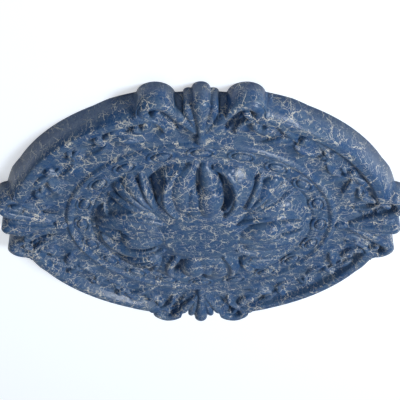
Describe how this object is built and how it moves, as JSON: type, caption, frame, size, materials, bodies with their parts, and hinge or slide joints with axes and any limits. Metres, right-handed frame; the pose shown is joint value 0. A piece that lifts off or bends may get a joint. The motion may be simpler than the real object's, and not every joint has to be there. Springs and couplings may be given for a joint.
{
  "type": "ceiling medallion",
  "caption": "Round ceiling medallion cast in one piece: leaf rosette round a flat canopy seat, egg band, flower sprays, and a palmette between scrolls on each axis.",
  "frame": {"origin": "centre of the flat back face", "axes": "+Z out of the carved face, square to the flat back. +X and +Y each run through one of the four edge ornaments."},
  "size_m": [0.4994, 0.4994, 0.046],
  "materials": {
    "crackle_paint": "blue crackle paint with cream cracks, semi-matt"
  },
  "bodies": {
    "root": {"medallion": "crackle_paint"}
  },
  "joints": []
}
